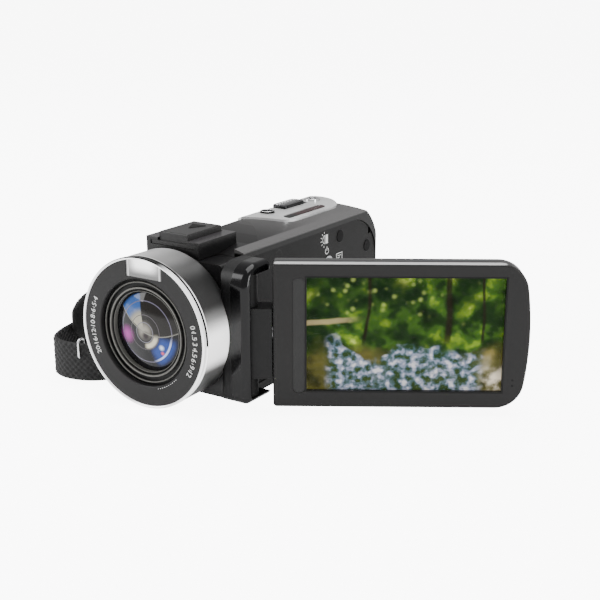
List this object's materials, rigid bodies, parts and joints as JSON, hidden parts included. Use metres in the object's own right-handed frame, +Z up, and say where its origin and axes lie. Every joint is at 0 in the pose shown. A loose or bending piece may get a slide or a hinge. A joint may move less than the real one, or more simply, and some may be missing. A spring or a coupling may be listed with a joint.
{
  "type": "camcorder",
  "caption": "Hand-held video camera with a fold-out flip screen on a hinge pod, ringed front lens with a light, top shoe, zoom rocker and a padded hand strap.",
  "frame": {"origin": "centre of the tripod thread's mouth, in the plane of the four feet", "axes": "+Z up, the lens looks along -Y, the screen opens on the +X side"},
  "size_m": [0.1648, 0.1224, 0.0587],
  "materials": {
    "base_screws": "black",
    "battery": "matt",
    "battery_door": "satin",
    "bezel_strip": "gloss",
    "display_button": "gloss",
    "face_ring": "satin",
    "feet": "matt",
    "flip_shaft": "satin",
    "front_lens": "coated",
    "front_shell": "gloss",
    "hinge_block": "satin",
    "hinge_collars": "satin",
    "hinge_pin": "satin",
    "hinge_pod": "gloss",
    "indicator_window": "deep maroon",
    "lens_baffle": "stepped matt black",
    "lens_cell": "matt",
    "lens_ring": "fine brushed",
    "light_board": "board with three chips",
    "light_button": "gloss",
    "light_window": "translucent white",
    "main_board": "board",
    "main_shell": "gloss, fading from dark grey to black",
    "memory_card": "matt",
    "microphone": "satin",
    "mode_button": "polished",
    "photo_button": "gloss",
    "playback_button": "gloss",
    "port_cover": "matt",
    "port_cover_pin": "satin",
    "port_sockets": "matt",
    "power_button": "dark chrome",
    "rear_cover": "gloss",
    "rear_lens": "coated",
    "record_button": "satin ring round a red centre",
    "ring_trim": "polished",
    "rocker_bracket": "satin",
    "rocker_pin": "satin",
    "screen_back": "gloss",
    "screen_bezel": "gloss",
    "screen_display": "display showing blurred foliage",
    "screen_glass": "clear",
    "screen_screws": "black",
    "second_lens": "coated",
    "sensor_board": "board",
    "shoe": "satin black",
    "shoe_cover": "satin",
    "side_cover": "gloss",
    "side_panel": "satin",
    "speaker": "matt",
    "strap_anchor_front": "gloss",
    "strap_anchor_rear": "gloss",
    "strap_pad": "smooth padded",
    "strap_webbing": "coarse black weave",
    "top_plate": "silver",
    "tripod_insert": "turned",
    "zoom_rocker": "dark chrome"
  },
  "bodies": {
    "camera_body": {"base_screws": "base_screws", "battery": "battery", "face_ring": "face_ring", "feet": "feet", "front_lens": "front_lens", "front_shell": "front_shell", "hinge_collars": "hinge_collars", "hinge_pin": "hinge_pin", "hinge_pod": "hinge_pod", "indicator_window": "indicator_window", "lens_baffle": "lens_baffle", "lens_cell": "lens_cell", "lens_ring": "lens_ring", "light_board": "light_board", "light_window": "light_window", "main_board": "main_board", "main_shell": "main_shell", "memory_card": "memory_card", "microphone": "microphone", "port_cover_pin": "port_cover_pin", "port_sockets": "port_sockets", "rear_cover": "rear_cover", "rear_lens": "rear_lens", "ring_trim": "ring_trim", "rocker_bracket": "rocker_bracket", "rocker_pin": "rocker_pin", "second_lens": "second_lens", "sensor_board": "sensor_board", "shoe": "shoe", "side_cover": "side_cover", "side_panel": "side_panel", "speaker": "speaker", "strap_anchor_front": "strap_anchor_front", "strap_anchor_rear": "strap_anchor_rear", "strap_pad": "strap_pad", "strap_webbing": "strap_webbing", "top_plate": "top_plate", "tripod_insert": "tripod_insert"},
    "shoe_cover": {"shoe_cover": "shoe_cover"},
    "zoom_rocker": {"zoom_rocker": "zoom_rocker"},
    "photo_button": {"photo_button": "photo_button"},
    "mode_button": {"mode_button": "mode_button"},
    "power_button": {"power_button": "power_button"},
    "display_button": {"display_button": "display_button"},
    "light_button": {"light_button": "light_button"},
    "playback_button": {"playback_button": "playback_button"},
    "record_button": {"record_button": "record_button"},
    "battery_door": {"battery_door": "battery_door"},
    "port_cover": {"port_cover": "port_cover"},
    "hinge_block": {"hinge_block": "hinge_block"},
    "screen": {"screen_back": "screen_back", "screen_bezel": "screen_bezel", "bezel_strip": "bezel_strip", "screen_display": "screen_display", "screen_glass": "screen_glass", "flip_shaft": "flip_shaft", "screen_screws": "screen_screws"}
  },
  "joints": [
    {"name": "lcd_open", "type": "hinge", "parent": "camera_body", "child": "hinge_block", "pos_m": [0.0285, -0.0392, 0.0279], "axis": [0, 0, -1], "range_deg": [-58.5, 31.5]},
    {"name": "lcd_flip", "type": "hinge", "parent": "hinge_block", "child": "screen", "pos_m": [0.0285, -0.0392, 0.0279], "axis": [-0.8526, -0.5225, 0], "range_deg": [0, 180]},
    {"name": "zoom_rock", "type": "hinge", "parent": "camera_body", "child": "zoom_rocker", "pos_m": [0.0005, 0.028, 0.0522], "axis": [1, 0, 0], "range_deg": [-8, 8], "stiffness_Nm_per_rad": 0.04},
    {"name": "photo_press", "type": "slide", "parent": "camera_body", "child": "photo_button", "axis": [0, 0, -1], "range_m": [0, 0.0006], "stiffness_N_per_m": 1500},
    {"name": "mode_press", "type": "slide", "parent": "camera_body", "child": "mode_button", "axis": [0, 0, -1], "range_m": [0, 0.0005], "stiffness_N_per_m": 1500},
    {"name": "record_press", "type": "slide", "parent": "camera_body", "child": "record_button", "axis": [0, -1, 0], "range_m": [0, 0.0006], "stiffness_N_per_m": 1500},
    {"name": "power_press", "type": "slide", "parent": "camera_body", "child": "power_button", "axis": [-1, 0, 0], "range_m": [0, 0.0004], "stiffness_N_per_m": 1500},
    {"name": "display_press", "type": "slide", "parent": "camera_body", "child": "display_button", "axis": [-1, 0, 0], "range_m": [0, 0.0004], "stiffness_N_per_m": 1500},
    {"name": "light_press", "type": "slide", "parent": "camera_body", "child": "light_button", "axis": [-1, 0, 0], "range_m": [0, 0.0004], "stiffness_N_per_m": 1500},
    {"name": "playback_press", "type": "slide", "parent": "camera_body", "child": "playback_button", "axis": [-1, 0, 0], "range_m": [0, 0.0004], "stiffness_N_per_m": 1500},
    {"name": "shoe_cover_slide", "type": "slide", "parent": "camera_body", "child": "shoe_cover", "axis": [0, -1, 0], "range_m": [0, 0.02]},
    {"name": "battery_door_slide", "type": "slide", "parent": "camera_body", "child": "battery_door", "axis": [0, 1, 0], "range_m": [0, 0.045]},
    {"name": "port_cover_swing", "type": "hinge", "parent": "camera_body", "child": "port_cover", "pos_m": [0.0065, 0.0608, 0.0108], "axis": [-1, 0, 0], "range_deg": [0, 100]}
  ]
}
